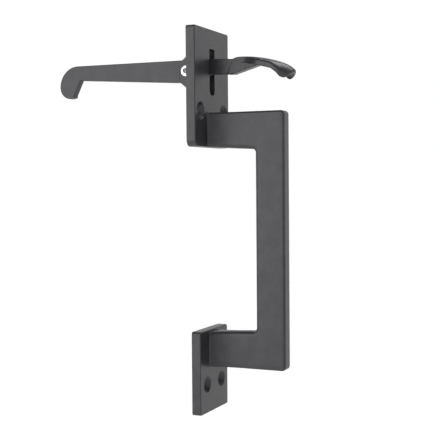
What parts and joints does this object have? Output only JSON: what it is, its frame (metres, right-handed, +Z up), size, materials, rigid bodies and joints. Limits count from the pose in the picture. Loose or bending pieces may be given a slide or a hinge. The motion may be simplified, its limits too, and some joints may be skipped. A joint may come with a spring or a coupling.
{
  "type": "stair gate latch",
  "caption": "Surface-mounted gate latch with a fixed pull handle and a pivoting thumb lever that runs through the upper plate to a hooked tail behind the gate.",
  "frame": {"origin": "midway between the two screw holes of the upper plate, on the plates' back faces, where they lie on the gate", "axes": "+Z up along the gate, +Y from the gate's outer face into and behind the gate, +X along the pivot, to the right as seen by a person facing the handle"},
  "size_m": [0.0508, 0.1684, 0.2422],
  "materials": {
    "powder_coat": "satin black powder coat over steel",
    "dark_steel": "blackened steel",
    "zinc_plate": "bright zinc plated steel"
  },
  "bodies": {
    "handle_set": {"upper_plate": "powder_coat", "lower_plate": "powder_coat", "pull_handle": "powder_coat", "left_ear": "powder_coat", "right_ear": "powder_coat", "pivot_pin": "dark_steel", "retaining_clip": "zinc_plate"},
    "lever": {"lever_bar": "powder_coat", "thumb_piece": "powder_coat"}
  },
  "joints": [
    {"name": "lever_hinge", "type": "hinge", "parent": "handle_set", "child": "lever", "pos_m": [0, 0.0083, 0.0261], "axis": [1, 0, 0], "range_deg": [-20, 16]}
  ]
}
